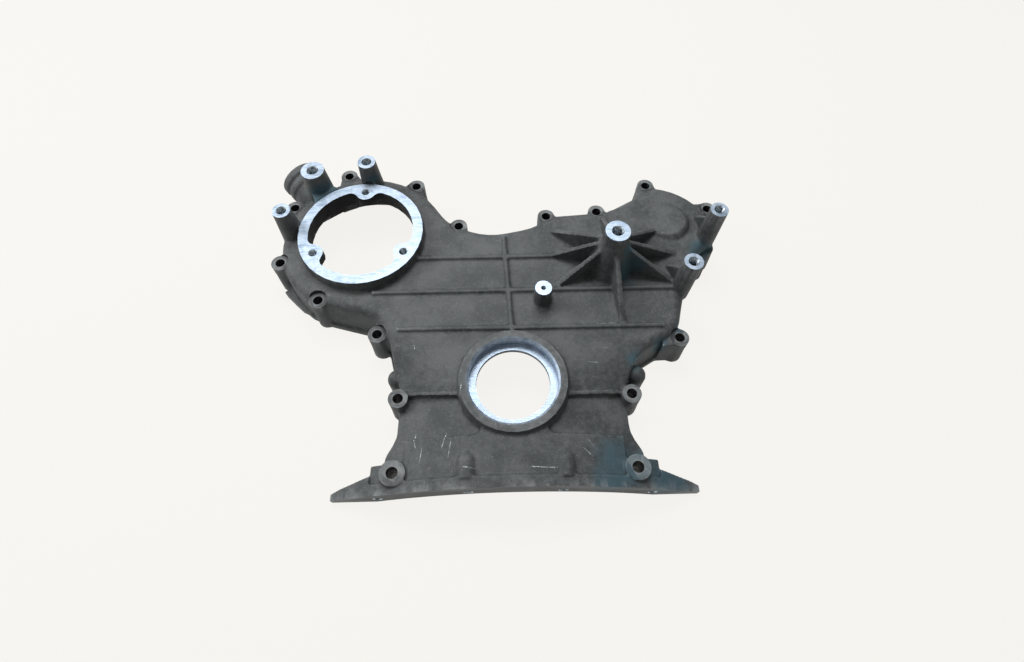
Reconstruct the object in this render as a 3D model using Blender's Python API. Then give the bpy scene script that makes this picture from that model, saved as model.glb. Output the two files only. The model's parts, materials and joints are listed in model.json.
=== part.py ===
import math

import bpy
from mathutils import Vector

# Sizes are in millimetres and angles in degrees, measured from the crank axis (X, Y)
# and from the gasket face (Z). MM turns them into metres as each mesh is made.
MM = 0.001

# Shell
WALL = 6.0
FRONT_Z = 44.0
FLANGE_HEIGHT = 7.0
FLANGE_LEDGE = 3.0
WALL_DRAFT = 3.5
SHOULDER_RADIUS = 9.0
SHOULDER_STEPS = 4
CAVITY_INSET = 8.0
CAVITY_DRAFT = 2.0
CAVITY_ROUND = 5.0
CURVE_TOLERANCE = 0.25

# Pump gear housing, upper left
PUMP_X = -158.2
PUMP_Y = 171.2
PUMP_HOUSING_RADIUS = 93.5
RING_Z = 57.0
RING_RADIUS = 65.9
RING_DRAFT = 1.0
RING_BORE = 55.8
LOBE_CIRCLE = 54.4
LOBE_RADIUS = 10.8
LOBE_BLEND = 8.0
LOBE_COUNT = 3
LOBE_DEPTH = 11.0
LOBE_START = 90.0
RING_SCREW_RADIUS = 3.4
RING_SCREW_DEPTH = 14.0

# Camshaft gear housing, upper right
CAM_X = 159.0
CAM_Y = 171.0
CAM_HOUSING_RADIUS = 75.0
DOME_X = 177.0
DOME_Y = 190.0
DOME_RADIUS = 21.5
DOME_HEIGHT = 6.0

# Crankshaft seal housing
SEAL_LIP_Z = 52.0
SEAL_LIP_RADIUS = 50.0
SEAL_HOUSING_RADIUS = 54.0
SEAL_CHAMFER_RADIUS = 44.4
SEAL_CHAMFER = 1.6
SEAL_BORE_RADIUS = 42.5
SEAL_LEDGE_RADIUS = 35.5
SEAL_DEPTH = 12.5
SEAL_HUB_RADIUS = 47.0
SEAL_HUB_Z = 35.0
SEAL_EDGE = 2.0

# Arched sump rail: the front of the lower cover is part of a cylinder along Y
ARCH_RADIUS = 330.0
ARCH_CROWN_Z = 51.0
RAIL_BAND = 23.0
SUMP_Y = -98.5
RAIL_THICKNESS = 10.5
RAIL_HALF_WIDTH = 170.0
ARCH_FOOT_X = 129.0
RAIL_TIP_HEIGHT = 10.0
RAIL_TIP_THICKNESS = 5.5
RAIL_TIP_LENGTH = 9.0
WING_ROOT_THICKNESS = 18.5
PAD_HALF_WIDTH = 133.0
PAD_TOP_Y = -70.5
PAD_DROP = 3.0
APRON_DROP = 3.5
APRON_TOP_Y = -51.0
APRON_HALF_WIDTH = 101.0
NECK_HALF_WIDTH = 30.0
PANEL_DROP = 7.5
RISE_START_Y = -15.0
RISE_END_Y = 45.0
RISE = 22.0
TRIM_HALF_WIDTH = 113.0
TRIM_REACH = 300.0
SUMP_OPENING_HALF_WIDTH = 104.0
SUMP_SCREWS = ((41.8, 32.5), (125.5, 12.5))
SUMP_SCREW_RADIUS = 3.4
SUMP_SCREW_DEPTH = 18.0
SUMP_BOSS_X = 43.5
SUMP_BOSS_RADIUS = 9.5
SUMP_BOSS_TOP_Y = -65.0
SUMP_BOSS_CROWN = 1.0

# Bolt ears on the gasket flange: x, y, top z, direction of the foot that joins the wall
EAR_RADIUS = 8.9
EAR_DRAFT = 1.9
EAR_FLARE = 6.0
EAR_REACH = 15.0
BOLT_HOLE_RADIUS = 5.0
EARS = (
    (-241.0, 219.0, 40.0, -30),
    (-184.9, 265.2, 40.0, -72),
    (-105.6, 248.2, 40.0, -122),
    (-55.5, 189.3, 40.0, -125),
    (42.3, 201.1, 40.0, -75),
    (99.6, 206.3, 40.0, -75),
    (160.5, 243.7, 40.0, -85),
    (226.0, 207.8, 40.0, -155),
    (209.0, 148.0, 32.0, 165),
    (168.8, 47.3, 36.0, 160),
    (113.0, -11.0, 36.0, None),
    (109.5, -80.5, 35.0, None),
    (-109.5, -80.5, 35.0, None),
    (-109.5, -11.0, 36.0, None),
    (-135.1, 57.9, 36.0, 35),
    (-198.3, 96.5, 40.0, 60),
    (-245.0, 144.0, 40.0, 15),
)

# Tall machined bosses: x, y, top z, top radius, hole radius, draft, web direction, web length
BOSS_FOOT_Z = 30.0
BOSS_DRAFT = 3.0
BOSS_HOLE_DEPTH = 28.0
TALL_BOSSES = (
    (-211.5, 236.8, 80.0, 12.4, 5.0, 4.5, -49, 28.0),
    (-154.3, 248.0, 80.0, 9.6, 4.2, 4.5, -90, 18.0),
    (-235.8, 181.7, 80.0, 9.3, 4.2, 4.5, -28, 16.0),
    (215.5, 166.6, 88.0, 9.3, 4.2, 1.2, 103.5, 30.0),
    (177.6, 103.3, 88.0, 9.6, 4.2, 0.5, 111, 30.0),
)
BOSS_WEB_THICKNESS = 5.0
BOSS_WEB_TOP_DROP = 12.0
WEB_DRAFT = 1.0

# Star boss: a cone with ribs that run out to the front wall
STAR_X = 105.1
STAR_Y = 132.4
STAR_Z = 100.0
STAR_TOP_RADIUS = 11.8
STAR_NECK_Z = 86.0
STAR_NECK_RADIUS = 13.5
STAR_FOOT_RADIUS = 26.0
STAR_HOLE_RADIUS = 5.0
STAR_RIB_THICKNESS = 4.0
STAR_RIB_TOP_Z = 89.0
STAR_RIB_TIP = 0.8
STAR_RIB_TIPS = (
    (44.5, 178.5),
    (41.5, 145.0),
    (47.5, 107.0),
    (111.4, 60.0),
    (170.5, 109.0),
    (177.0, 145.0),
    (164.5, 179.0),
    (104.7, 195.0),
)

# Small boss on the wall
PIN_X = 32.3
PIN_Y = 90.3
PIN_Z = 66.0
PIN_RADIUS = 8.4
PIN_HOLE_RADIUS = 2.0
PIN_HOLE_DEPTH = 8.0

# Shallow ribs on the front wall: start x, y, end x, y
RIB_HEIGHT = 3.0
RIB_THICKNESS = 4.0
WALL_RIBS = (
    (-98.0, 142.8, 50.0, 143.2),
    (-142.0, 100.6, 168.0, 101.6),
    (-113.5, 57.8, 152.5, 57.2),
    (-6.0, 171.0, 0.5, 49.0),
)
SIDE_RIBS = ((-102.0, -6.0, -48.0, -10.5), (48.0, -12.5, 102.0, -8.0))
SIDE_RIB_HEIGHT = 4.0

# Flank bumps beside the lower panels
BUMPS = ((-114.5, 15.0), (123.5, 14.0))
BUMP_RADIUS = 9.5
BUMP_Z = 30.0

# Oil filler neck, upper left
FILLER_X = -244.5
FILLER_Y = 269.0
FILLER_Z = 36.0
FILLER_AZIMUTH = 133.0
FILLER_RISE = 14.0
FILLER_RADIUS = 23.0
FILLER_BEAD = 8.0
FILLER_STEP = 2.0
FILLER_BORE = 17.0
FILLER_LENGTH = 48.0
FILLER_BORE_LENGTH = 70.0

# Oil passage under the filler neck, and the lug beside it: angles round the pump housing
PASSAGE_ANGLES = (120.0, 143.0)
PASSAGE_RADIUS = 97.0
PASSAGE_Z = 20.0
PASSAGE_WALL_ANGLE = 3.5
LUG_ANGLES = (107.5, 119.0)
LUG_RADIUS = 84.5
LUG_Z = 18.0

# Wide corner of the gasket flange below the left ear
FLANGE_CORNER_OUTLINE = (
    (-248.0, 126.0), (-236.5, 114.5), (-226.5, 105.0), (-213.0, 98.5), (-208.0, 108.0), (-236.0, 140.0),
)
FLANGE_CORNER_Z = 10.0

# Outline of the wall at the gasket face, anticlockwise: corners as x, y, radius. The camshaft
# arc comes between LOWER_RIGHT and VALLEY, the pump arc between VALLEY and LOWER_LEFT.
CAM_ARC = (4.0, 82.0)
PUMP_ARC = (33.0, 233.0)
LOWER_RIGHT = (
    (-105.0, -92.0, 18.0),
    (105.0, -92.0, 18.0),
    (129.0, -72.0, 18.0),
    (113.0, -44.0, 25.0),
    (113.0, -2.0, 20.0),
    (126.0, 24.0, 16.0),
    (156.0, 42.0, 20.0),
    (174.0, 57.0, 18.0),
    (180.0, 78.0, 30.0),
    (192.0, 116.0, 30.0),
    (205.0, 139.0, 30.0),
    (219.5, 153.0, 20.0),
    (231.0, 161.0, 16.0),
)
VALLEY = (
    (110.0, 211.0, 25.0),
    (50.0, 206.5, 18.0),
    (22.0, 190.0, 60.0),
    (-22.0, 180.5, 60.0),
    (-62.0, 195.5, 48.0),
)
LOWER_LEFT = (
    (-192.0, 86.0, 18.0),
    (-140.0, 71.0, 18.0),
    (-126.0, 46.0, 16.0),
    (-121.0, 26.0, 16.0),
    (-113.0, -2.0, 20.0),
    (-113.5, -44.0, 25.0),
    (-129.0, -72.0, 18.0),
)

# Extra length of a cutter past the face it opens, and the run of a sharp step
CLEAR = 2.0
STEP = 0.1

TAPER = math.tan(math.radians(BOSS_DRAFT))


def clear_scene():
    for item in list(bpy.data.objects):
        bpy.data.objects.remove(item, do_unlink=True)


def polar(radius, angle, x=0.0, y=0.0):
    a = math.radians(angle)
    return (x + radius * math.cos(a), y + radius * math.sin(a))


# Flat sides that keep a round within the curve tolerance
def segments(radius, sweep=360.0):
    step = math.degrees(2 * math.acos(max(0.5, 1 - CURVE_TOLERANCE / radius)))
    return max(2, math.ceil(abs(sweep) / step))


def arc(x, y, radius, start, end):
    count = segments(radius, end - start)
    return [polar(radius, start + (end - start) * i / count, x, y) for i in range(count + 1)]


# Points of the arc that rounds one corner of an outline
def fillet(before, corner, after, radius):
    ax, ay = before[0] - corner[0], before[1] - corner[1]
    bx, by = after[0] - corner[0], after[1] - corner[1]
    la, lb = math.hypot(ax, ay), math.hypot(bx, by)
    ax, ay, bx, by = ax / la, ay / la, bx / lb, by / lb
    half = math.acos(max(-1.0, min(1.0, ax * bx + ay * by))) / 2
    reach = min(radius / math.tan(half), la * 0.48, lb * 0.48)
    radius = reach * math.tan(half)
    mid = math.hypot(ax + bx, ay + by)
    cx = corner[0] + (ax + bx) / mid * radius / math.sin(half)
    cy = corner[1] + (ay + by) / mid * radius / math.sin(half)
    first = math.degrees(math.atan2(corner[1] + ay * reach - cy, corner[0] + ax * reach - cx))
    last = math.degrees(math.atan2(corner[1] + by * reach - cy, corner[0] + bx * reach - cx))
    sweep = (last - first + 180) % 360 - 180
    return arc(cx, cy, radius, first, first + sweep)


# An outline from (x, y, radius) corners; radius 0 keeps the point
def rounded(corners):
    points = []
    for i, (x, y, radius) in enumerate(corners):
        if radius:
            points += fillet(corners[i - 1], (x, y), corners[(i + 1) % len(corners)], radius)
        else:
            points.append((x, y))
    return points


def plain(points):
    return [(x, y, 0) for x, y in points]


# The outline moved inwards, point by point, along its mitre lines
def inset(outline, distance):
    moved = []
    count = len(outline)
    for i in range(count):
        x, y = outline[i]
        ax, ay = x - outline[i - 1][0], y - outline[i - 1][1]
        bx, by = outline[(i + 1) % count][0] - x, outline[(i + 1) % count][1] - y
        la, lb = math.hypot(ax, ay), math.hypot(bx, by)
        nx, ny = -(ay / la + by / lb), ax / la + bx / lb
        length = math.hypot(nx, ny)
        mitre = distance / max(0.5, length / 2)
        moved.append((x + nx / length * mitre, y + ny / length * mitre))
    return moved


# The foot of the outer wall, anticlockwise from the lower left corner
def shell_outline():
    cam = arc(CAM_X, CAM_Y, CAM_HOUSING_RADIUS, *CAM_ARC)
    pump = arc(PUMP_X, PUMP_Y, PUMP_HOUSING_RADIUS, *PUMP_ARC)
    corners = list(LOWER_RIGHT) + plain(cam) + list(VALLEY) + plain(pump) + list(LOWER_LEFT)
    return rounded(corners)


def make_object(name, vertices, faces):
    mesh = bpy.data.meshes.new(name)
    mesh.from_pydata([(x * MM, y * MM, z * MM) for x, y, z in vertices], [], faces)
    mesh.validate()
    item = bpy.data.objects.new(name, mesh)
    return item


# A round solid about any axis; profile: (radius, distance along the axis) pairs
def turned_along(name, origin, azimuth, rise, profile):
    a, r = math.radians(azimuth), math.radians(rise)
    axis = Vector((math.cos(a) * math.cos(r), math.sin(a) * math.cos(r), math.sin(r)))
    side = Vector((-math.sin(a), math.cos(a), 0.0))
    up = axis.cross(side)
    count = max(10, segments(max(radius for radius, _ in profile)))
    rings = []
    for radius, along in profile:
        centre = Vector(origin) + axis * along
        turns = [2 * math.pi * i / count for i in range(count)]
        rings.append([centre + radius * (side * math.cos(t) + up * math.sin(t)) for t in turns])
    return skin(name, rings)


# A closed solid over rings of points that all have the same count
def skin(name, rings):
    count = len(rings[0])
    vertices = [point for ring in rings for point in ring]
    faces = [tuple(reversed(range(count)))]
    for level in range(len(rings) - 1):
        low, high = level * count, (level + 1) * count
        for i in range(count):
            j = (i + 1) % count
            faces.append((low + i, low + j, high + j, high + i))
    top = (len(rings) - 1) * count
    faces.append(tuple(range(top, top + count)))
    return make_object(name, vertices, faces)


# An outline raised through levels: (z, inset) pairs from the bottom up
def prism(name, outline, levels):
    return skin(name, [[(x, y, z) for x, y in inset(outline, d)] for z, d in levels])


# A round solid from (radius, z) pairs, bottom to top
def turned(name, x, y, profile):
    widest = max(radius for radius, _ in profile)
    count = max(10, segments(widest))
    rings = []
    for radius, z in profile:
        rings.append([(*polar(radius, 360.0 * i / count, x, y), z) for i in range(count)])
    return skin(name, rings)


# Height of the arched front at x, a given depth below its crown surface
def arch(x, drop):
    radius = ARCH_RADIUS - drop
    return ARCH_CROWN_Z - ARCH_RADIUS + math.sqrt(radius * radius - x * x)


# A solid of box sections along X; stations: x, low y, high y, low z, high z
def strip(name, stations):
    rings = [[(x, b, c), (x, b, d), (x, a, d), (x, a, c)] for x, a, b, c, d in stations]
    return skin(name, rings)


def steps(start, end, pitch=9.0):
    count = max(1, math.ceil(abs(end - start) / pitch))
    return [start + (end - start) * i / count for i in range(count + 1)]


def arched(name, start, end, low_y, high_y, low_drop, high_drop):
    stations = [(x, low_y, high_y, arch(x, low_drop), arch(x, high_drop)) for x in steps(start, end)]
    return strip(name, stations)


# An upright web from start to end, with a sloping top edge
def plate(name, start, end, thickness, foot_z, start_z, end_z):
    dx, dy = end[0] - start[0], end[1] - start[1]
    length = math.hypot(dx, dy)
    nx, ny = -dy / length, dx / length
    spread = math.tan(math.radians(WEB_DRAFT))
    rings = []
    for z_start, z_end in ((foot_z, foot_z), (start_z, end_z)):
        a = thickness / 2 + spread * (start_z - z_start)
        b = thickness / 2 + spread * (start_z - z_end)
        rings.append([
            (start[0] - nx * a, start[1] - ny * a, z_start),
            (end[0] - nx * b, end[1] - ny * b, z_end),
            (end[0] + nx * b, end[1] + ny * b, z_end),
            (start[0] + nx * a, start[1] + ny * a, z_start),
        ])
    return skin(name, rings)


def make_shell(outline):
    straight = FRONT_Z - SHOULDER_RADIUS
    draft = math.tan(math.radians(WALL_DRAFT))
    levels = [(0.0, 0.0), (FLANGE_HEIGHT, 0.0), (FLANGE_HEIGHT + 0.5, FLANGE_LEDGE)]
    side = FLANGE_LEDGE + draft * (straight - FLANGE_HEIGHT)
    for i in range(SHOULDER_STEPS + 1):
        a = math.radians(90.0 * i / SHOULDER_STEPS)
        z = straight + SHOULDER_RADIUS * math.sin(a)
        levels.append((z, side + SHOULDER_RADIUS * (1 - math.cos(a))))
    return prism("gear_cover", outline, levels)


def make_cavity(outline):
    ceiling = FRONT_Z - WALL
    draft = math.tan(math.radians(CAVITY_DRAFT))
    side = CAVITY_INSET + draft * (ceiling - CAVITY_ROUND)
    levels = [(-CLEAR, CAVITY_INSET), (0.0, CAVITY_INSET), (ceiling - CAVITY_ROUND, side)]
    levels.append((ceiling - CAVITY_ROUND * 0.3, side + CAVITY_ROUND * 0.3))
    levels.append((ceiling, side + CAVITY_ROUND))
    return prism("cavity", outline, levels)


# Everything above the arched front of the lower cover
def make_trim(name, drop):
    rings = []
    limit = TRIM_HALF_WIDTH
    for y, rise in ((SUMP_Y - 10, 0.0), (RISE_START_Y, 0.0), (RISE_END_Y, RISE)):
        xs = [-TRIM_REACH] + steps(-limit, limit, 12.0) + [TRIM_REACH]
        ring = [(x, y, arch(max(-limit, min(limit, x)), drop) + rise) for x in xs]
        rings.append([(TRIM_REACH, y, 150.0), (-TRIM_REACH, y, 150.0)] + ring)
    return skin(name, [list(reversed(ring)) for ring in rings])


def make_ear(index, x, y, top):
    return turned("ear_%d" % index, x, y, ((EAR_RADIUS + EAR_DRAFT, 0.0), (EAR_RADIUS, top)))


# The flared foot that joins an ear to the wall
def make_ear_web(index, x, y, top, toward):
    near, far = [], []
    for side in (-1, 1):
        near.append(polar(EAR_RADIUS, toward + 90 * side, x, y))
        deep = polar(EAR_REACH, toward, x, y)
        far.append(polar(EAR_RADIUS + EAR_FLARE, toward + 90 * side, *deep))
    outline = [near[0], far[0], far[1], near[1]]
    return skin("ear_web_%d" % index, [[(px, py, z) for px, py in outline] for z in (0.0, top)])


# The pump opening: a circle with a screw lobe reaching in at each third
def lobed_bore():
    points = []
    inner = RING_BORE - LOBE_BLEND
    outer = LOBE_RADIUS + LOBE_BLEND
    cosine = (inner ** 2 + LOBE_CIRCLE ** 2 - outer ** 2) / (2 * inner * LOBE_CIRCLE)
    spread = math.degrees(math.acos(cosine))
    pitch = 360.0 / LOBE_COUNT
    for k in range(LOBE_COUNT):
        middle = LOBE_START + pitch * k
        lobe = polar(LOBE_CIRCLE, middle)
        first = polar(inner, middle - spread)
        last = polar(inner, middle + spread)
        lean = math.degrees(math.atan2(lobe[1] - first[1], lobe[0] - first[0]))
        lean = middle - spread + (lean - middle + spread) % 360
        back = 2 * middle - lean
        points += arc(*first, LOBE_BLEND, middle - spread, lean)
        points += arc(*lobe, LOBE_RADIUS, lean + 180, back + 180)[1:-1]
        points += arc(*last, LOBE_BLEND, back, middle + spread)
        points += arc(0, 0, RING_BORE, middle + spread, middle + pitch - spread)[1:-1]
    return [(x + PUMP_X, y + PUMP_Y) for x, y in points]


def make_ring():
    foot = FRONT_Z - WALL / 2
    return turned("ring", PUMP_X, PUMP_Y, ((RING_RADIUS + RING_DRAFT, foot), (RING_RADIUS, RING_Z)))


def make_seal_housing():
    profile = (
        (SEAL_HUB_RADIUS, FRONT_Z - WALL),
        (SEAL_HOUSING_RADIUS, FRONT_Z - SEAL_EDGE),
        (SEAL_LIP_RADIUS + SEAL_EDGE, SEAL_LIP_Z - SEAL_EDGE),
        (SEAL_LIP_RADIUS, SEAL_LIP_Z),
    )
    return turned("seal_housing", 0.0, 0.0, profile)


def make_tall_boss(index, x, y, top, radius, draft, direction, length):
    foot = radius + math.tan(math.radians(draft)) * (top - BOSS_FOOT_Z)
    profile = ((foot, BOSS_FOOT_Z), (radius, top))
    boss = turned("tall_boss_%d" % index, x, y, profile)
    end = polar(length, direction, x, y)
    web = plate("tall_boss_web_%d" % index, (x, y), end, BOSS_WEB_THICKNESS,
                BOSS_FOOT_Z, top - BOSS_WEB_TOP_DROP, FRONT_Z)
    return [boss, web]


# The star boss: its cone, then one rib to each tip on the front wall
def make_star():
    foot = FRONT_Z - WALL / 2
    profile = (
        (STAR_FOOT_RADIUS, foot),
        (STAR_NECK_RADIUS, STAR_NECK_Z),
        (STAR_TOP_RADIUS, STAR_Z),
    )
    solids = [turned("star_boss", STAR_X, STAR_Y, profile)]
    for i, tip in enumerate(STAR_RIB_TIPS):
        solids.append(plate("star_rib_%d" % i, (STAR_X, STAR_Y), tip, STAR_RIB_THICKNESS,
                            foot, STAR_RIB_TOP_Z, FRONT_Z + STAR_RIB_TIP))
    return solids


def make_dome():
    ball = (DOME_RADIUS ** 2 + DOME_HEIGHT ** 2) / (2 * DOME_HEIGHT)
    foot = FRONT_Z - WALL / 2
    profile = [(DOME_RADIUS, foot)]
    for share in (0.0, 0.3, 0.6, 0.85, 0.97):
        height = DOME_HEIGHT * share
        profile.append((math.sqrt(ball ** 2 - (ball - DOME_HEIGHT + height) ** 2), FRONT_Z + height))
    return turned("dome", DOME_X, DOME_Y, profile)


def make_wall_ribs():
    solids = []
    for i, (x0, y0, x1, y1) in enumerate(WALL_RIBS):
        top = FRONT_Z + RIB_HEIGHT
        solids.append(plate("wall_rib_%d" % i, (x0, y0), (x1, y1), RIB_THICKNESS,
                            FRONT_Z - WALL / 2, top, top))
    for i, (x0, y0, x1, y1) in enumerate(SIDE_RIBS):
        stations = []
        for x in steps(x0, x1):
            y = y0 + (y1 - y0) * (x - x0) / (x1 - x0)
            rise = RISE * max(0.0, y - RISE_START_Y) / (RISE_END_Y - RISE_START_Y)
            surface = arch(x, PANEL_DROP) + rise
            stations.append((x, y - RIB_THICKNESS / 2, y + RIB_THICKNESS / 2,
                             surface - WALL / 2, surface + SIDE_RIB_HEIGHT))
        solids.append(strip("side_rib_%d" % i, stations))
    return solids


# The sump rail: a band of the arch whose ends run out flat as tapered wings
def make_rail():
    tip_start = RAIL_HALF_WIDTH - RAIL_TIP_LENGTH
    outer = [PAD_HALF_WIDTH + STEP, tip_start, RAIL_HALF_WIDTH]
    inner = steps(-PAD_HALF_WIDTH, PAD_HALF_WIDTH)
    stations = []
    for x in [-x for x in reversed(outer)] + inner + outer:
        reach = abs(x)
        low = max(0.0, arch(x, RAIL_BAND)) if reach < ARCH_FOOT_X else 0.0
        high = max(RAIL_TIP_HEIGHT, arch(x, 0.0))
        depth = RAIL_THICKNESS
        if reach > PAD_HALF_WIDTH:
            share = (reach - PAD_HALF_WIDTH) / (tip_start - PAD_HALF_WIDTH)
            depth = WING_ROOT_THICKNESS + (RAIL_THICKNESS - WING_ROOT_THICKNESS) * share
        if reach > tip_start:
            depth = RAIL_TIP_THICKNESS
        stations.append((x, SUMP_Y, SUMP_Y + depth, low, high))
    return strip("sump_rail", stations)


def make_lower_front():
    behind_rail = SUMP_Y + RAIL_THICKNESS - CLEAR
    solids = [make_rail()]
    solids.append(arched("apron", -APRON_HALF_WIDTH, APRON_HALF_WIDTH, behind_rail, APRON_TOP_Y,
                         PANEL_DROP + WALL / 2, APRON_DROP))
    solids.append(arched("apron_neck", -NECK_HALF_WIDTH, NECK_HALF_WIDTH, APRON_TOP_Y - CLEAR,
                         -SEAL_BORE_RADIUS, PANEL_DROP + WALL / 2, APRON_DROP))
    for side in (-1, 1):
        inner = SUMP_OPENING_HALF_WIDTH
        stations = []
        for x in steps(side * inner, side * PAD_HALF_WIDTH):
            stations.append((x, behind_rail, PAD_TOP_Y, 0.0, arch(x, PAD_DROP)))
        if side < 0:
            stations.reverse()
        solids.append(strip("corner_pad_%d" % side, stations))
        crown = arch(SUMP_BOSS_X, 0.0) + SUMP_BOSS_CROWN
        origin = (side * SUMP_BOSS_X, SUMP_BOSS_TOP_Y - SUMP_BOSS_RADIUS, crown - SUMP_BOSS_RADIUS)
        solids.append(turned_along("sump_boss_%d" % side, origin, 90, 0, rounded_end(
            SUMP_BOSS_RADIUS, behind_rail - origin[1])))
    return solids


# Profile of a rod from a start distance to a ball-shaped end about the origin
def rounded_end(radius, start):
    profile = [(radius, start)]
    for angle in (0, 30, 60, 82):
        profile.append(polar(radius, angle))
    return profile


def make_bump(index, x, y):
    profile = [(radius, BUMP_Z - BUMP_RADIUS + along) for radius, along in
               rounded_end(BUMP_RADIUS, BUMP_RADIUS - BUMP_Z)]
    return turned("bump_%d" % index, x, y, profile)


def make_filler():
    origin = (FILLER_X, FILLER_Y, FILLER_Z)
    neck = FILLER_RADIUS - FILLER_STEP
    profile = (
        (neck, -FILLER_LENGTH),
        (neck, -FILLER_BEAD - FILLER_STEP / 2),
        (FILLER_RADIUS, -FILLER_BEAD),
        (FILLER_RADIUS, -FILLER_STEP / 2),
        (FILLER_RADIUS - FILLER_STEP / 2, 0.0),
    )
    return turned_along("filler_neck", origin, FILLER_AZIMUTH, FILLER_RISE, profile)


# A block between two radii and two angles about the pump gear axis
def sector(name, inner, outer, angles, low, high):
    outline = arc(PUMP_X, PUMP_Y, outer, *angles) + arc(PUMP_X, PUMP_Y, inner, *reversed(angles))
    return skin(name, [[(x, y, z) for x, y in outline] for z in (low, high)])


def make_castings():
    inner = PUMP_HOUSING_RADIUS - CAVITY_INSET + STEP
    passage = (PASSAGE_ANGLES[0] - PASSAGE_WALL_ANGLE, PASSAGE_ANGLES[1] + PASSAGE_WALL_ANGLE)
    solids = [make_ring(), make_seal_housing(), make_dome(), make_filler()]
    solids.append(turned("pin_boss", PIN_X, PIN_Y, (
        (PIN_RADIUS + TAPER * (PIN_Z - FRONT_Z), FRONT_Z - WALL / 2), (PIN_RADIUS, PIN_Z))))
    solids.append(sector("passage_wall", inner, PASSAGE_RADIUS + WALL, passage, 0.0,
                         PASSAGE_Z + WALL))
    solids.append(prism("flange_corner", FLANGE_CORNER_OUTLINE, ((0.0, 0.0), (FLANGE_CORNER_Z, 0.0))))
    for i, (x, y, top, toward) in enumerate(EARS):
        if toward is not None:
            solids.append(make_ear_web(i, x, y, top, toward))
    for i, (x, y, top, radius, _, draft, direction, length) in enumerate(TALL_BOSSES):
        solids += make_tall_boss(i, x, y, top, radius, draft, direction, length)
    for i, (x, y) in enumerate(BUMPS):
        solids.append(make_bump(i, x, y))
    return solids + make_star() + make_wall_ribs() + make_lower_front()


# Castings that stand inside the hollow
def make_inner_castings():
    solids = [make_ear(i, x, y, top) for i, (x, y, top, _) in enumerate(EARS)]
    solids.append(rod("seal_hub", 0.0, 0.0, SEAL_HUB_RADIUS, SEAL_HUB_Z, FRONT_Z - WALL / 2))
    solids.append(sector("lug", LUG_RADIUS, PUMP_HOUSING_RADIUS - WALL / 2, LUG_ANGLES, 0.0, LUG_Z))
    return solids


def rod(name, x, y, radius, low, high):
    return turned(name, x, y, ((radius, low), (radius, high)))


def make_cutters():
    cutters = []
    for i, (x, y, top, _) in enumerate(EARS):
        cutters.append(rod("bolt_hole_%d" % i, x, y, BOLT_HOLE_RADIUS, -CLEAR, top + CLEAR))
    for i, (x, y, top, _, radius, _, _, _) in enumerate(TALL_BOSSES):
        cutters.append(rod("boss_hole_%d" % i, x, y, radius, top - BOSS_HOLE_DEPTH, top + CLEAR))
    cutters.append(rod("star_hole", STAR_X, STAR_Y, STAR_HOLE_RADIUS,
                        STAR_Z - BOSS_HOLE_DEPTH, STAR_Z + CLEAR))
    cutters.append(rod("pin_hole", PIN_X, PIN_Y, PIN_HOLE_RADIUS,
                        PIN_Z - PIN_HOLE_DEPTH, PIN_Z + CLEAR))
    cutters.append(prism("pump_opening", lobed_bore(), (
        (RING_Z - LOBE_DEPTH - CLEAR, 0.0), (RING_Z + CLEAR, 0.0))))
    cutters.append(rod("pump_bore", PUMP_X, PUMP_Y, RING_BORE, FRONT_Z - WALL - CLEAR,
                       RING_Z - LOBE_DEPTH))
    for k in range(LOBE_COUNT):
        x, y = polar(LOBE_CIRCLE, LOBE_START + 360.0 / LOBE_COUNT * k, PUMP_X, PUMP_Y)
        cutters.append(rod("ring_screw_%d" % k, x, y, RING_SCREW_RADIUS,
                            RING_Z - RING_SCREW_DEPTH, RING_Z + CLEAR))
    cutters.append(turned("seal_bore", 0.0, 0.0, (
        (SEAL_LEDGE_RADIUS, SEAL_HUB_Z - CLEAR),
        (SEAL_LEDGE_RADIUS, SEAL_LIP_Z - SEAL_DEPTH),
        (SEAL_BORE_RADIUS, SEAL_LIP_Z - SEAL_DEPTH + STEP),
        (SEAL_BORE_RADIUS, SEAL_LIP_Z - SEAL_CHAMFER),
        (SEAL_CHAMFER_RADIUS, SEAL_LIP_Z),
        (SEAL_CHAMFER_RADIUS, SEAL_LIP_Z + CLEAR),
    )))
    cutters.append(sector("passage", PUMP_HOUSING_RADIUS - CAVITY_INSET - CLEAR, PASSAGE_RADIUS,
                          PASSAGE_ANGLES, -CLEAR, PASSAGE_Z))
    cutters.append(turned_along("filler_bore", (FILLER_X, FILLER_Y, FILLER_Z), FILLER_AZIMUTH,
                                FILLER_RISE, ((FILLER_BORE, -FILLER_BORE_LENGTH), (FILLER_BORE, CLEAR))))
    width = SUMP_OPENING_HALF_WIDTH
    inner = SUMP_Y + RAIL_THICKNESS + CAVITY_INSET + 2 * CLEAR
    opening = [(x, SUMP_Y - CLEAR, inner, -CLEAR, arch(x, RAIL_BAND))
               for x in steps(-width, width)]
    cutters.append(strip("sump_opening", opening))
    for side in (-1, 1):
        for i, (x, z) in enumerate(SUMP_SCREWS):
            cutters.append(turned_along("sump_screw_%d_%d" % (i, side), (side * x, SUMP_Y, z), 90, 0, (
                (SUMP_SCREW_RADIUS, -CLEAR), (SUMP_SCREW_RADIUS, SUMP_SCREW_DEPTH))))
    return cutters


def put_in(collection_name, items, hidden):
    collection = bpy.data.collections.new(collection_name)
    bpy.context.scene.collection.children.link(collection)
    for item in items:
        collection.objects.link(item)
        if hidden:
            item.hide_render = True
            item.display_type = "WIRE"
    return collection


def boolean(target, name, operation, collection):
    modifier = target.modifiers.new(name, "BOOLEAN")
    modifier.solver = "EXACT"
    modifier.operation = operation
    modifier.operand_type = "COLLECTION"
    modifier.collection = collection


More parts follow.
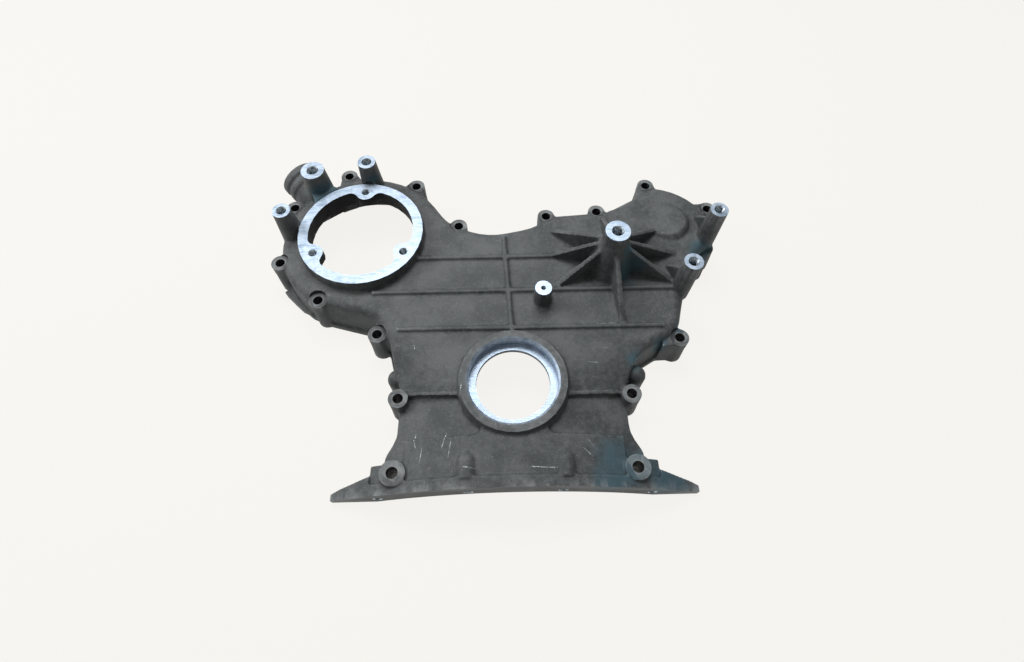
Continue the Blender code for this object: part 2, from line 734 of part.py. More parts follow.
def cast_aluminium():
    material = bpy.data.materials.new("cast_aluminium")
    material.use_nodes = True
    shader = material.node_tree.nodes["Principled BSDF"]
    shader.inputs["Base Color"].default_value = (0.105, 0.11, 0.108, 1.0)
    shader.inputs["Metallic"].default_value = 0.35
    shader.inputs["Roughness"].default_value = 0.6
    return material


def build_cover():
    outline = shell_outline()
    cover = make_shell(outline)
    cavity = make_cavity(outline)
    put_in("cover", [cover], False)
    hollow = put_in("hollow", [cavity], True)
    front_trim = put_in("front_trim", [make_trim("front_surface", PANEL_DROP)], True)
    cavity_trim = put_in("cavity_trim", [make_trim("inner_surface", PANEL_DROP + WALL)], True)
    castings = put_in("castings", make_castings(), True)
    inner_castings = put_in("inner_castings", make_inner_castings(), True)
    machining = put_in("machining", make_cutters(), True)
    boolean(cavity, "trim", "DIFFERENCE", cavity_trim)
    boolean(cover, "trim", "DIFFERENCE", front_trim)
    boolean(cover, "cast", "UNION", castings)
    boolean(cover, "hollow", "DIFFERENCE", hollow)
    boolean(cover, "cast_inside", "UNION", inner_castings)
    boolean(cover, "machine", "DIFFERENCE", machining)
    cover.data.materials.append(cast_aluminium())
    return cover


# Everything hangs on the crank axis; the row's origin is the middle of the finished box
def stand_on_origin(cover):
    crank_axis = bpy.data.objects.new("crank_axis", None)
    bpy.context.scene.collection.objects.link(crank_axis)
    graph = bpy.context.evaluated_depsgraph_get()
    corners = [Vector(corner) for corner in cover.evaluated_get(graph).bound_box]
    low = Vector([min(corner[i] for corner in corners) for i in range(3)])
    high = Vector([max(corner[i] for corner in corners) for i in range(3)])
    for item in list(bpy.data.objects):
        if item != crank_axis:
            item.parent = crank_axis
    middle = (low + high) / 2
    crank_axis.location = (-middle.x, -middle.y, -low.z)


clear_scene()
stand_on_origin(build_cover())
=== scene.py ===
import bpy
import bmesh
import json
import math
import numpy as np
from mathutils import Matrix, Vector
from mathutils.bvhtree import BVHTree


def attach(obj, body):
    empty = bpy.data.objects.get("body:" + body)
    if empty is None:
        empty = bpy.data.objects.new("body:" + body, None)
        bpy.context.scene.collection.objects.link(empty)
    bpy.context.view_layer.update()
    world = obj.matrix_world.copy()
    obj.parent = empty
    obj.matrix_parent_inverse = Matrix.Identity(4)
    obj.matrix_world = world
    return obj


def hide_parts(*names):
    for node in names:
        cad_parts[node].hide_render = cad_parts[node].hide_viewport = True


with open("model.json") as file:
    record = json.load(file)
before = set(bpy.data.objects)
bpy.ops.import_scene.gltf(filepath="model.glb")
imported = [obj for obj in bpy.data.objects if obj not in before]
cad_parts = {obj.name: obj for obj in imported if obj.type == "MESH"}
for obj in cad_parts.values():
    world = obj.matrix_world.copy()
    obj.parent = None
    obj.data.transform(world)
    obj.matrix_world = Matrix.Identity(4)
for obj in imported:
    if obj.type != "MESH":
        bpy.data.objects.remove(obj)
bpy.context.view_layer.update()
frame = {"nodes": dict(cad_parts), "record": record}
mm = 0.001

# Every size below is in millimetres from the crank axis and the gasket face
pumpMount = next(m for m in frame["record"]["mounts"] if m["name"] == "pump_ring_face")
crank = Vector((pumpMount["pos_m"][0] + 0.0972, pumpMount["pos_m"][1] - 0.1712, 0.0))


def place(x, y, z):
    return Vector((x, y, z)) * mm + crank


# sizes of the soft cast skin

casting = {
    "grain": 1.1,            # side of one facet of the skin
    "quickGrain": 2.0,
    "passes": 6,             # more passes give rounder corners
    "insidePull": 0.34,      # how fast inside corners fill up
    "edgePull": 0.12,        # how fast outside edges wear down
    "triangles": 165000,
    "stock": 2.4,            # metal left on before milling
    "closed": 0.6,           # how far the plugs reach past the hole walls
    "sharp": 38,             # edges over this angle stay sharp
}
pumpRing = {"x": -158.2, "y": 171.2, "faceZ": 57.0, "radius": 65.9, "screwCircle": 54.4,
            "screwAngles": (90, 210, 330), "screwRadius": 3.4, "screwDepth": 14.0, "pitch": 1.25}
sealBore = {"lipZ": 52.0, "radius": 42.5, "mouth": 44.4, "chamfer": 1.6, "depth": 12.5,
            "ledge": 35.5, "floorZ": 35.0, "lip": 50.4}
ears = {"reach": 0.9, "places": (      # x, y, top, radius of the hole, radius of the flat; no flat, no hole
    (-241.0, 219.0, 40.0, 5.0, 9.1), (-184.9, 265.2, 40.0, 5.0, 9.1), (-105.6, 248.2, 40.0, 5.0, 9.1),
    (-55.5, 189.3, 40.0, 5.0, 9.1), (42.3, 201.1, 40.0, 5.0, 9.1), (99.6, 206.3, 40.0, 5.0, 9.1),
    (160.5, 243.7, 40.0, 5.0, 9.1), (226.0, 207.8, 40.0, 5.0, 9.1), (209.0, 148.0, 32.0, 5.0, 0.0),
    (168.8, 47.3, 36.0, 5.0, 9.1), (113.0, -11.0, 36.0, 5.0, 9.1), (110.0, -80.5, 35.0, 5.4, 11.4),
    (-110.0, -80.5, 35.0, 5.4, 11.4), (-109.5, -11.0, 36.0, 5.0, 9.1), (-135.1, 57.9, 36.0, 5.0, 9.1),
    (-198.3, 96.5, 40.0, 5.0, 9.1), (-245.0, 144.0, 40.0, 5.0, 9.1))}
tallBosses = {"depth": 28.0, "pitch": 1.5, "places": (   # x, y, top, radius of the face, radius of the thread
    (-211.5, 236.8, 80.0, 12.4, 5.0), (-154.3, 248.0, 80.0, 9.6, 4.2), (-235.8, 181.7, 80.0, 9.3, 4.2),
    (215.5, 166.6, 88.0, 9.3, 4.2), (177.6, 103.3, 88.0, 9.6, 4.2), (105.1, 132.4, 100.0, 11.8, 5.0))}
pinBoss = {"x": 32.3, "y": 90.3, "top": 66.0, "radius": 8.4, "hole": 2.0, "depth": 8.0}
sumpFace = {"y": -98.5, "screws": ((41.8, 32.5), (125.5, 12.5)), "radius": 3.4, "depth": 18.0, "pitch": 1.25}


def pumpScrews():              # centres of the screw holes in the pump ring
    return [(pumpRing["x"] + pumpRing["screwCircle"] * math.cos(math.radians(angle)),
             pumpRing["y"] + pumpRing["screwCircle"] * math.sin(math.radians(angle)))
            for angle in pumpRing["screwAngles"]]


def sumpScrews():              # x and z of the screw holes in the sump face
    return [(side * x, z) for x, z in sumpFace["screws"] for side in (-1, 1)]


# mesh helpers

def meshObject(name, bm):
    mesh = bpy.data.meshes.new(name)
    bm.normal_update()
    bm.to_mesh(mesh)
    bm.free()
    made = bpy.data.objects.new(name, mesh)
    bpy.context.scene.collection.objects.link(made)
    return made


def closeRings(bm, rings):       # joins rings of corners into one closed body
    sides = len(rings[0])
    for low, high in zip(rings, rings[1:]):
        for i in range(sides):
            j = (i + 1) % sides
            bm.faces.new((low[i], low[j], high[j], high[i]))
    bm.faces.new(list(reversed(rings[0])))
    bm.faces.new(rings[-1])


def turned(bm, seat, profile, sides=64):     # profile runs upwards: radius, height
    rings = []
    for radius, height in profile:
        ring = []
        for i in range(sides):
            a = math.tau * i / sides
            ring.append(bm.verts.new(seat @ Vector((radius * math.cos(a), radius * math.sin(a), height))))
        rings.append(ring)
    closeRings(bm, rings)


def rod(bm, seat, radius, low, high, sides):
    turned(bm, seat, ((radius, low), (radius, high)), sides)


def tapped(bm, seat, radius, depth, pitch, sides=28):     # a real screw thread, cut from the face down
    groove = 0.5 * pitch
    rows = int(depth / pitch * 4)
    rings = []
    for row in range(rows + 1):
        height = -depth + depth * row / rows
        ring = []
        for i in range(sides):
            turn = i / sides
            tooth = 1 - abs(2 * ((height / pitch - turn) % 1.0) - 1)
            r = radius + groove * tooth
            r = max(r, radius + groove + 0.5 + height)      # chamfer at the mouth
            across, up = r * math.cos(math.tau * turn), r * math.sin(math.tau * turn)
            ring.append(bm.verts.new(seat @ Vector((across, up, height))))
        rings.append(ring)
    last = radius + groove + 0.5
    ring = []
    for i in range(sides):
        across, up = last * math.cos(math.tau * i / sides), last * math.sin(math.tau * i / sides)
        ring.append(bm.verts.new(seat @ Vector((across, up, 3.0))))
    rings.append(ring)
    closeRings(bm, rings)


def block(bm, low, high):
    made = bmesh.ops.create_cube(bm, size=1.0)["verts"]
    for v in made:
        v.co = Vector([low[k] if v.co[k] < 0 else high[k] for k in range(3)])


def upright(x, y, z):      # a seat whose axis points out of the front face
    return Matrix.Translation(Vector((x, y, z)))


def intoSump(x, z):        # a seat whose axis points out of the sump face
    return Matrix.Translation(Vector((x, sumpFace["y"], z))) @ Matrix.Rotation(math.pi / 2, 4, "X")


def cutterObject(name, bm):
    bm.transform(Matrix.Translation(crank) @ Matrix.Scale(mm, 4))
    bmesh.ops.recalc_face_normals(bm, faces=bm.faces)
    return meshObject(name, bm)


def cut(target, cutter, operation="DIFFERENCE"):
    step = target.modifiers.new(cutter.name, "BOOLEAN")
    step.operation = operation
    step.solver = "MANIFOLD"
    step.object = cutter
    bake(target)
    bpy.data.objects.remove(cutter)


def bake(thing):           # keeps what the modifiers make
    graph = bpy.context.evaluated_depsgraph_get()
    fresh = bpy.data.meshes.new_from_object(thing.evaluated_get(graph))
    thing.modifiers.clear()
    old = thing.data
    thing.data = fresh
    bpy.data.meshes.remove(old)


# small forms of the casting that the plain solid leaves out

detail = {
    "flare": ((-212.5, 211.5), (-212.8, 200.6), (-181.0, 223.2), (-190.0, 233.5), (-206.0, 240.0), (-218.0, 228.0)),
    "flareZ": (32.0, 57.0),
    "shelf": ((103.0, 192.5), (103.5, 187.5), (108.0, 184.0), (150.0, 168.0), (160.0, 222.0),
              (141.0, 214.5), (120.0, 205.5), (114.0, 203.5), (108.0, 198.5)),
    "shelfRise": 2.6,         # height of its left edge above the wall
    "shelfEnd": 160.0,
    "shelfFoot": 40.0,
    "wallZ": 44.0,
    "disc": {"x": 174.0, "y": 187.5, "radius": 21.0, "rise": 3.0, "lean": 8.0, "turn": -30.0, "bevel": 4},
    "dome": {"x": 177.0, "y": 190.0, "radius": 21.6},
    "cornerBoss": {"x": 110.0, "y": -80.5, "radius": 11.5, "top": 35.0},
    "sidePad": {"x": 217.0, "y": 161.0, "radius": 9.5, "top": 32.0},
    "collar": ((13.2, 91.5), (13.2, 92.0), (12.2, 102.0)),
    "sumpBoss": {"x": 43.5, "topY": -65.0, "radius": 8.8, "z": 41.6, "length": 16},
    "apronNeck": {"x": 38.5, "y": -42.5, "radius": 8.5, "innerX": 27.0, "lowY": -54.0,
                  "arch": 326.5, "drop": 279.0, "foot": 36.0},
    "secondBead": ((22.0, -20.0), (22.6, -18.5), (22.6, -14.0), (22.0, -12.5)),
    "filler": {"at": (-244.5, 269.0, 36.0), "turn": 133.0, "rise": 14.0},
}


def slab(bm, outline, low, tops):        # an upright body over an outline, one top height for each corner
    closeRings(bm, [[bm.verts.new((x, y, low)) for x, y in outline],
                    [bm.verts.new((x, y, top)) for (x, y), top in zip(outline, tops)]])


def addDetail(bm):
    slab(bm, detail["flare"], detail["flareZ"][0], [detail["flareZ"][1]] * len(detail["flare"]))
    left = detail["shelf"][0][0]
    rise = [detail["shelfRise"] * (detail["shelfEnd"] - x) / (detail["shelfEnd"] - left)
            for x, y in detail["shelf"]]
    slab(bm, detail["shelf"], detail["shelfFoot"], [detail["wallZ"] + 0.1 + more for more in rise])
    disc = detail["disc"]
    seat = (upright(disc["x"], disc["y"], detail["wallZ"] + disc["rise"])
            @ Matrix.Rotation(math.radians(disc["turn"]), 4, "Z")
            @ Matrix.Rotation(math.radians(-disc["lean"]), 4, "Y"))
    foot = disc["radius"] + disc["bevel"]
    turned(bm, seat, ((foot, -9), (foot, -disc["bevel"]), (disc["radius"], 0)))
    for side in (-1, 1):
        boss = detail["cornerBoss"]
        turned(bm, upright(side * boss["x"], boss["y"], 0), (
            (boss["radius"] + 0.3, 0), (boss["radius"], boss["top"])), 48)
        bar = detail["sumpBoss"]
        seat = upright(side * bar["x"], bar["topY"] - bar["radius"], bar["z"]) @ Matrix.Rotation(-math.pi / 2, 4, "X")
        turned(bm, seat, [(bar["radius"], -bar["length"])] + [
            (bar["radius"] * math.cos(a), bar["radius"] * math.sin(a)) for a in (0, 0.3, 0.6, 0.9, 1.2, 1.5)], 40)
        neck = detail["apronNeck"]
        outline = [(side * (neck["x"] - neck["radius"] * math.sin(a)), neck["y"] - neck["radius"] * math.cos(a))
                   for a in (0, 0.4, 0.8, 1.2, math.pi / 2)]
        outline += [(side * x, y) for x, y in (
            (neck["innerX"], neck["y"]), (neck["innerX"], neck["lowY"]), (neck["x"], neck["lowY"]))]
        tops = [math.sqrt(neck["arch"] ** 2 - x * x) - neck["drop"] for x, y in outline]
        slab(bm, outline if side < 0 else outline[::-1], neck["foot"], tops if side < 0 else tops[::-1])
    pad = detail["sidePad"]
    turned(bm, upright(pad["x"], pad["y"], 0), ((pad["radius"] + 1.9, 0), (pad["radius"], pad["top"])), 40)
    star = tallBosses["places"][-1]
    turned(bm, upright(star[0], star[1], 0), detail["collar"])
    filler = detail["filler"]
    seat = (upright(*filler["at"]) @ Matrix.Rotation(math.radians(filler["turn"]), 4, "Z")
            @ Matrix.Rotation(math.pi / 2 - math.radians(filler["rise"]), 4, "Y"))
    turned(bm, seat, detail["secondBead"])


# the casting before it is milled

def closeHoles(bm):            # the casting is solid where holes are drilled later
    stock, closed = casting["stock"], casting["closed"]
    for x, y, top, hole, flat in ears["places"]:
        rod(bm, upright(x, y, 0), hole + 0.9, -stock, top, 32)
        if flat:
            turned(bm, upright(x, y, 0), ((flat + 0.5, top - 12), (flat + 0.3, top + stock)), 40)
    for x, y, top, radius, hole in tallBosses["places"]:
        rod(bm, upright(x, y, 0), hole + closed, top - tallBosses["depth"] - 1, top + stock, 32)
    seat = upright(pinBoss["x"], pinBoss["y"], 0)
    rod(bm, seat, pinBoss["hole"] + closed, pinBoss["top"] - pinBoss["depth"] - 1, pinBoss["top"] + stock, 24)
    for x, y in pumpScrews():
        seat = upright(x, y, pumpRing["faceZ"])
        rod(bm, seat, pumpRing["screwRadius"] + closed, -pumpRing["screwDepth"] + 3.5, stock, 24)
    turned(bm, upright(0, 0, 0), (
        (sealBore["ledge"] + 3, sealBore["floorZ"]), (sealBore["mouth"] + 1, sealBore["floorZ"] + 3),
        (sealBore["mouth"] + 1, sealBore["lipZ"] + stock)), 96)
    for x, z in sumpScrews():
        rod(bm, intoSump(x, z), sumpFace["radius"] + closed, -sumpFace["depth"] - 1, stock, 24)


def castingBlank():
    bm = bmesh.new()
    bm.from_mesh(frame["nodes"]["gear_cover"].data)
    bmesh.ops.remove_doubles(bm, verts=bm.verts, dist=1e-6)
    bm.transform(Matrix.Scale(1 / mm, 4) @ Matrix.Translation(-crank))
    dome = detail["dome"]
    for v in bm.verts:         # the ball of the solid makes way for the leaning disc
        if v.co.z > detail["wallZ"] + 0.02 and math.hypot(v.co.x - dome["x"], v.co.y - dome["y"]) < dome["radius"]:
            v.co.z = detail["wallZ"]
    stock = casting["stock"]
    faces = [(pumpRing["x"], pumpRing["y"], pumpRing["faceZ"], pumpRing["radius"]),
             (pinBoss["x"], pinBoss["y"], pinBoss["top"], pinBoss["radius"])]
    faces += [spot[:4] for spot in tallBosses["places"]]
    for v in bm.verts:
        if v.co.z < 0.05:
            v.co.z -= stock
        if v.co.y < sumpFace["y"] + 0.05:
            v.co.y -= stock
        if abs(v.co.z - sealBore["lipZ"]) < 0.05 and math.hypot(v.co.x, v.co.y) < sealBore["lip"]:
            v.co.z += stock
        for x, y, top, radius in faces:
            if abs(v.co.z - top) < 0.05 and math.hypot(v.co.x - x, v.co.y - y) < radius + 0.5:
                v.co.z += stock
                break
    addDetail(bm)
    closeHoles(bm)
    bm.transform(Matrix.Translation(crank) @ Matrix.Scale(mm, 4))
    blank = meshObject("cover_casting", bm)
    skin = blank.modifiers.new("skin", "REMESH")
    skin.mode = "VOXEL"
    skin.voxel_size = casting["grain"] * mm
    bake(blank)
    return blank


def soften(mesh, passes):      # fills inside corners like a sand mould does, and only dulls outside edges
    count = len(mesh.vertices)
    ends = np.empty(len(mesh.edges) * 2, np.int64)
    mesh.edges.foreach_get("vertices", ends)
    first, second = ends[0::2], ends[1::2]
    joined = np.maximum(np.bincount(ends, minlength=count), 1)
    points = np.empty(count * 3)
    mesh.vertices.foreach_get("co", points)
    points = points.reshape(-1, 3)
    outward = np.empty(count * 3)
    for step in range(passes):
        if step % 4 == 0:
            mesh.vertices.foreach_set("co", points.ravel())
            mesh.update()
            mesh.vertices.foreach_get("normal", outward)
            normals = outward.reshape(-1, 3)
        middle = np.empty_like(points)
        for axis in range(3):
            middle[:, axis] = (np.bincount(first, points[second, axis], count)
                               + np.bincount(second, points[first, axis], count)) / joined
        pull = middle - points
        inside = (pull * normals).sum(axis=1) > 0
        points += pull * np.where(inside, casting["insidePull"], casting["edgePull"])[:, None]
    roundWallCrease(points)
    mesh.vertices.foreach_set("co", points.ravel())
    mesh.update()


wallCrease = {
    "flat": 44.0, "arch": 326.5, "drop": 283.2, "slope": 0.3625, "from": -15.2, "round": 2.4,
    "lowest": 20.0,                   # nothing below this height moves
    "housing": (57, 7), "foot": (4, 10), "top": (52, 8), "side": (118, 10),      # where it fades out
}


def roundWallCrease(points):   # the flat wall runs softly into the lower panels
    x, y = ((points[:, :2] - np.array(crank)[:2]) / mm).T
    panel = np.sqrt(wallCrease["arch"] ** 2 - x ** 2) - wallCrease["drop"]
    panel = panel + wallCrease["slope"] * (y - wallCrease["from"])
    apart = abs(panel - wallCrease["flat"]) / 2
    sink = np.sqrt(apart ** 2 + wallCrease["round"] ** 2) - apart
    housing, foot, top, side = (wallCrease[name] for name in ("housing", "foot", "top", "side"))
    fade = np.clip((np.hypot(x, y) - housing[0]) / housing[1], 0, 1) * np.clip((y + foot[0]) / foot[1], 0, 1)
    fade = fade * np.clip((top[0] - y) / top[1], 0, 1)
    fade *= np.clip((side[0] - abs(x)) / side[1], 0, 1)
    points[:, 2] -= np.where(points[:, 2] > wallCrease["lowest"] * mm, sink * fade * mm, 0)


def faceCutters():
    bm = bmesh.new()
    block(bm, (-320, -140, -12), (320, 330, 0))          # gasket face
    rod(bm, upright(pumpRing["x"], pumpRing["y"], pumpRing["faceZ"]), pumpRing["radius"] + 0.5, 0, 5, 160)
    for x, y, top, radius, hole in tallBosses["places"]:
        rod(bm, upright(x, y, top), radius + 4, 0, 8, 40)
    rod(bm, upright(pinBoss["x"], pinBoss["y"], pinBoss["top"]), pinBoss["radius"] + 3, 0, 6, 40)
    rod(bm, upright(0, 0, sealBore["lipZ"]), sealBore["lip"] + 3, 0, 6, 128)
    for x, y, top, hole, flat in ears["places"]:
        if flat:
            rod(bm, upright(x, y, top), flat + ears["reach"], 0, 5, 48)
    return cutterObject("face_cutters", bm)


def holeCutters():
    bm = bmesh.new()
    block(bm, (-240, -120, -12), (240, sumpFace["y"], 80))       # sump face
    for x, y, top, hole, flat in ears["places"]:
        if flat:
            rod(bm, upright(x, y, 0), hole, -4, top + 4, 40)
    for x, y, top, radius, hole in tallBosses["places"]:
        tapped(bm, upright(x, y, top), hole, tallBosses["depth"], tallBosses["pitch"])
    for x, y in pumpScrews():
        seat = upright(x, y, pumpRing["faceZ"])
        tapped(bm, seat, pumpRing["screwRadius"], pumpRing["screwDepth"], pumpRing["pitch"])
    turned(bm, upright(pinBoss["x"], pinBoss["y"], pinBoss["top"]), (
        (pinBoss["hole"], -pinBoss["depth"]), (pinBoss["hole"], -0.6),
        (pinBoss["hole"] + 0.6, 0), (pinBoss["hole"] + 0.6, 3)), 24)
    seat = sealBore["lipZ"] - sealBore["depth"]
    turned(bm, upright(0, 0, 0), (
        (sealBore["ledge"], sealBore["floorZ"] - 4), (sealBore["ledge"], seat), (sealBore["radius"], seat + 0.1),
        (sealBore["radius"], sealBore["lipZ"] - sealBore["chamfer"]), (sealBore["mouth"], sealBore["lipZ"]),
        (sealBore["mouth"], sealBore["lipZ"] + 4)), 160)
    return cutterObject("hole_cutters", bm)


def sumpCutters():
    bm = bmesh.new()
    for x, z in sumpScrews():
        tapped(bm, intoSump(x, z), sumpFace["radius"], sumpFace["depth"], sumpFace["pitch"])
    return cutterObject("sump_screw_cutters", bm)


# materials

def surface(name):             # a fresh material with its shader
    made = bpy.data.materials.new(name)
    made.use_nodes = True
    tree = made.node_tree
    tree.nodes.clear()
    out = tree.nodes.new("ShaderNodeOutputMaterial")
    shader = tree.nodes.new("ShaderNodeBsdfPrincipled")
    tree.links.new(shader.outputs[0], out.inputs["Surface"])
    return made, tree, shader


def put(tree, socket, value):
    if hasattr(value, "is_output"):
        tree.links.new(value, socket)
    else:
        socket.default_value = value


def sums(tree, kind, *values):
    node = tree.nodes.new("ShaderNodeMath")
    node.operation = kind
    for socket, value in zip(node.inputs, values):
        put(tree, socket, value)
    return node.outputs[0]


def grain(tree, spot, size, detail=3.0, rough=0.55, warp=0.0):      # soft noise, size in millimetres
    node = tree.nodes.new("ShaderNodeTexNoise")
    put(tree, node.inputs["Vector"], spot)
    node.inputs["Scale"].default_value = 1000.0 / size
    node.inputs["Detail"].default_value = detail
    node.inputs["Roughness"].default_value = rough
    node.inputs["Distortion"].default_value = warp
    return node.outputs[0]


def between(tree, value, low, high, start=0.0, end=1.0):
    node = tree.nodes.new("ShaderNodeMapRange")
    node.interpolation_type = "SMOOTHSTEP"
    for name, what in (("Value", value), ("From Min", low), ("From Max", high), ("To Min", start), ("To Max", end)):
        put(tree, node.inputs[name], what)
    return node.outputs[0]


def blend(tree, share, under, over):
    node = tree.nodes.new("ShaderNodeMix")
    node.data_type = "RGBA"
    put(tree, node.inputs["Factor"], share)
    for socket, value in ((node.inputs[6], under), (node.inputs[7], over)):
        put(tree, socket, value if hasattr(value, "is_output") else (*value, 1.0))
    return node.outputs[2]


def bumps(tree, height, reach, strength, under=None):       # reach is the depth in millimetres
    node = tree.nodes.new("ShaderNodeBump")
    node.inputs["Strength"].default_value = strength
    node.inputs["Distance"].default_value = reach * mm
    put(tree, node.inputs["Height"], height)
    if under is not None:
        put(tree, node.inputs["Normal"], under)
    return node.outputs[0]


def objectSpot(tree):
    return tree.nodes.new("ShaderNodeTexCoord").outputs["Object"]


def patch(tree, spot, centre, radius, ragged):       # a soft-edged spot on the surface
    gap = tree.nodes.new("ShaderNodeVectorMath")
    gap.operation = "DISTANCE"
    put(tree, gap.inputs[0], spot)
    gap.inputs[1].default_value = place(*centre)
    reach = sums(tree, "MULTIPLY_ADD", ragged, radius * mm * 0.9, radius * mm * 0.55)
    return between(tree, sums(tree, "DIVIDE", gap.outputs["Value"], reach), 0.55, 1.0, 1.0, 0.0)


castSkin = {
    "dark": (0.045, 0.050, 0.053),
    "light": (0.093, 0.099, 0.102),
    # colour of the painted shade in inside corners and creases
    "creaseShade": (0.016, 0.018, 0.020),
    "speck": (0.18, 0.185, 0.19),
    # colour of the sharp outer edges: worn metal plus a painted edge highlight
    "wornAndLitEdge": (0.36, 0.38, 0.39),
    "blue": (0.040, 0.088, 0.112),
    "bluePatches": (       # x, y, z, radius: worn blue paint
        (-206.0, 222.0, 57.0, 17.0), (-196.0, 234.0, 57.0, 10.0), (-222.0, 190.0, 52.0, 12.0),
        (-150.0, 240.0, 62.0, 9.0),
        (206.0, 148.0, 42.0, 16.0), (214.0, 158.0, 34.0, 12.0), (124.0, 112.0, 60.0, 20.0),
        (118.0, 124.0, 80.0, 10.0),
        (96.0, -76.0, 40.0, 30.0), (122.0, -74.0, 36.0, 24.0), (140.0, -92.0, 16.0, 26.0), (84.0, -92.0, 40.0, 22.0),
        (170.0, 62.0, 30.0, 14.0), (146.0, 44.0, 30.0, 14.0), (120.0, 26.0, 30.0, 14.0)),
    "scuffs": (            # start x, y and end x, y of each scratch, and its width
        (-93.0, -48.0, -90.0, -60.0, 1.1), (-91.0, -44.0, -92.0, -50.0, 0.9), (-62.0, -45.0, -66.0, -62.0, 1.2),
        (-57.0, -50.0, -60.0, -72.0, 0.8), (-84.0, -58.0, -86.0, -74.0, 0.7), (-48.0, -80.0, -34.0, -81.5, 1.1),
        (8.0, -80.5, 40.0, -82.0, 1.2), (60.0, -62.0, 70.0, -72.0, 0.9), (66.0, -55.0, 74.0, -66.0, 0.7),
        (72.0, 20.0, 84.0, 19.0, 0.7), (74.0, 6.0, 82.0, 5.0, 0.6), (-48.0, -2.0, -50.0, -16.0, 1.1),
        (84.0, 60.5, 106.0, 61.0, 1.0), (-96.0, 42.0, -95.0, 36.0, 0.8), (88.0, 34.0, 96.0, 35.0, 0.5)),
}
milledFace = {"low": (0.17, 0.235, 0.32), "high": (0.44, 0.52, 0.62), "roughness": (0.42, 0.58)}
drilledWall = {"low": (0.16, 0.20, 0.23), "high": (0.62, 0.70, 0.76)}


def scuff(tree, spot, startX, startY, endX, endY, width):    # distance to a short line, seen from the front
    start, end = Vector((startX, startY, 0)), Vector((endX, endY, 0))
    along = (end - start).normalized()
    shifted = tree.nodes.new("ShaderNodeVectorMath")
    shifted.operation = "SUBTRACT"
    put(tree, shifted.inputs[0], spot)
    shifted.inputs[1].default_value = place(*((start + end) / 2))
    ways = []
    for direction, half in ((along, (end - start).length / 2), (Vector((-along.y, along.x, 0)), width / 2)):
        dot = tree.nodes.new("ShaderNodeVectorMath")
        dot.operation = "DOT_PRODUCT"
        tree.links.new(shifted.outputs[0], dot.inputs[0])
        dot.inputs[1].default_value = direction
        ways.append(sums(tree, "DIVIDE", sums(tree, "ABSOLUTE", dot.outputs["Value"]), half * mm))
    return between(tree, sums(tree, "MAXIMUM", *ways), 0.35, 1.0, 1.0, 0.0)


def makeCastSkin():
    made, tree, shader = surface("cast_skin")
    spot = objectSpot(tree)
    cloud = grain(tree, spot, 38, 4, 0.6)
    mottle = grain(tree, spot, 5.5, 4, 0.65)
    sand = grain(tree, spot, 1.5, 2, 0.5)
    tone = between(tree, sums(tree, "MULTIPLY_ADD", cloud, 0.55, sums(tree, "MULTIPLY", mottle, 0.45)), 0.36, 0.64)
    colour = blend(tree, tone, castSkin["dark"], castSkin["light"])
    colour = blend(tree, between(tree, sand, 0.60, 0.74, 0.0, 0.55), colour, castSkin["speck"])
    blue = 0.0
    for x, y, z, radius in castSkin["bluePatches"]:
        blue = sums(tree, "MAXIMUM", blue, patch(tree, spot, (x, y, z), radius, mottle))
    faded = between(tree, cloud, 0.3, 0.6, 0.35, 0.85)
    colour = blend(tree, sums(tree, "MULTIPLY", blue, faded), colour, castSkin["blue"])
    sharp = tree.nodes.new("ShaderNodeNewGeometry").outputs["Pointiness"]
    # painted shade: inside corners and creases (low pointiness) are darkened
    creaseShade = between(tree, sums(tree, "MULTIPLY_ADD", mottle, 0.02, sharp), 0.455, 0.505, 0.75, 0.0)
    colour = blend(tree, creaseShade, colour, castSkin["creaseShade"])
    # sharp outer edges are lightened: worn metal and a painted edge highlight
    wornAndLitEdges = between(tree, sums(tree, "MULTIPLY_ADD", mottle, 0.05, sharp), 0.545, 0.62)
    colour = blend(tree, sums(tree, "MULTIPLY", wornAndLitEdges, 0.5), colour, castSkin["wornAndLitEdge"])
    marks = 0.0
    for mark in castSkin["scuffs"]:
        marks = sums(tree, "MAXIMUM", marks, scuff(tree, spot, *mark))
    marks = sums(tree, "MULTIPLY", marks, between(tree, grain(tree, spot, 1.6, 4, 0.7), 0.42, 0.60))
    colour = blend(tree, sums(tree, "MULTIPLY", marks, 0.8), colour, (0.56, 0.60, 0.62))
    put(tree, shader.inputs["Base Color"], colour)
    put(tree, shader.inputs["Roughness"], between(tree, mottle, 0.3, 0.7, 0.50, 0.68))
    put(tree, shader.inputs["Metallic"], sums(tree, "MULTIPLY", marks, 0.8))
    shader.inputs["Specular IOR Level"].default_value = 0.22
    rough = bumps(tree, grain(tree, spot, 9, 3, 0.5), 0.5, 0.5)
    put(tree, shader.inputs["Normal"], bumps(tree, sand, 0.22, 0.75, rough))
    return made


def makeMilledFace():
    made, tree, shader = surface("milled_face")
    spot = objectSpot(tree)
    stretch = tree.nodes.new("ShaderNodeMapping")
    tree.links.new(spot, stretch.inputs["Vector"])
    stretch.inputs["Scale"].default_value = (0.25, 2.4, 1.0)
    stretch.inputs["Rotation"].default_value = (0, 0, 0.7)
    streaks = grain(tree, stretch.outputs[0], 2.5, 3, 0.6, 0.4)
    stain = grain(tree, spot, 11, 4, 0.6, 0.6)
    mixed = sums(tree, "MULTIPLY_ADD", stain, 0.55, sums(tree, "MULTIPLY", streaks, 0.45))
    share = between(tree, mixed, 0.30, 0.64)
    put(tree, shader.inputs["Base Color"], blend(tree, share, milledFace["low"], milledFace["high"]))
    put(tree, shader.inputs["Roughness"], between(tree, stain, 0.3, 0.7, *milledFace["roughness"]))
    shader.inputs["Metallic"].default_value = 0.85
    put(tree, shader.inputs["Normal"], bumps(tree, streaks, 0.05, 0.6))
    return made


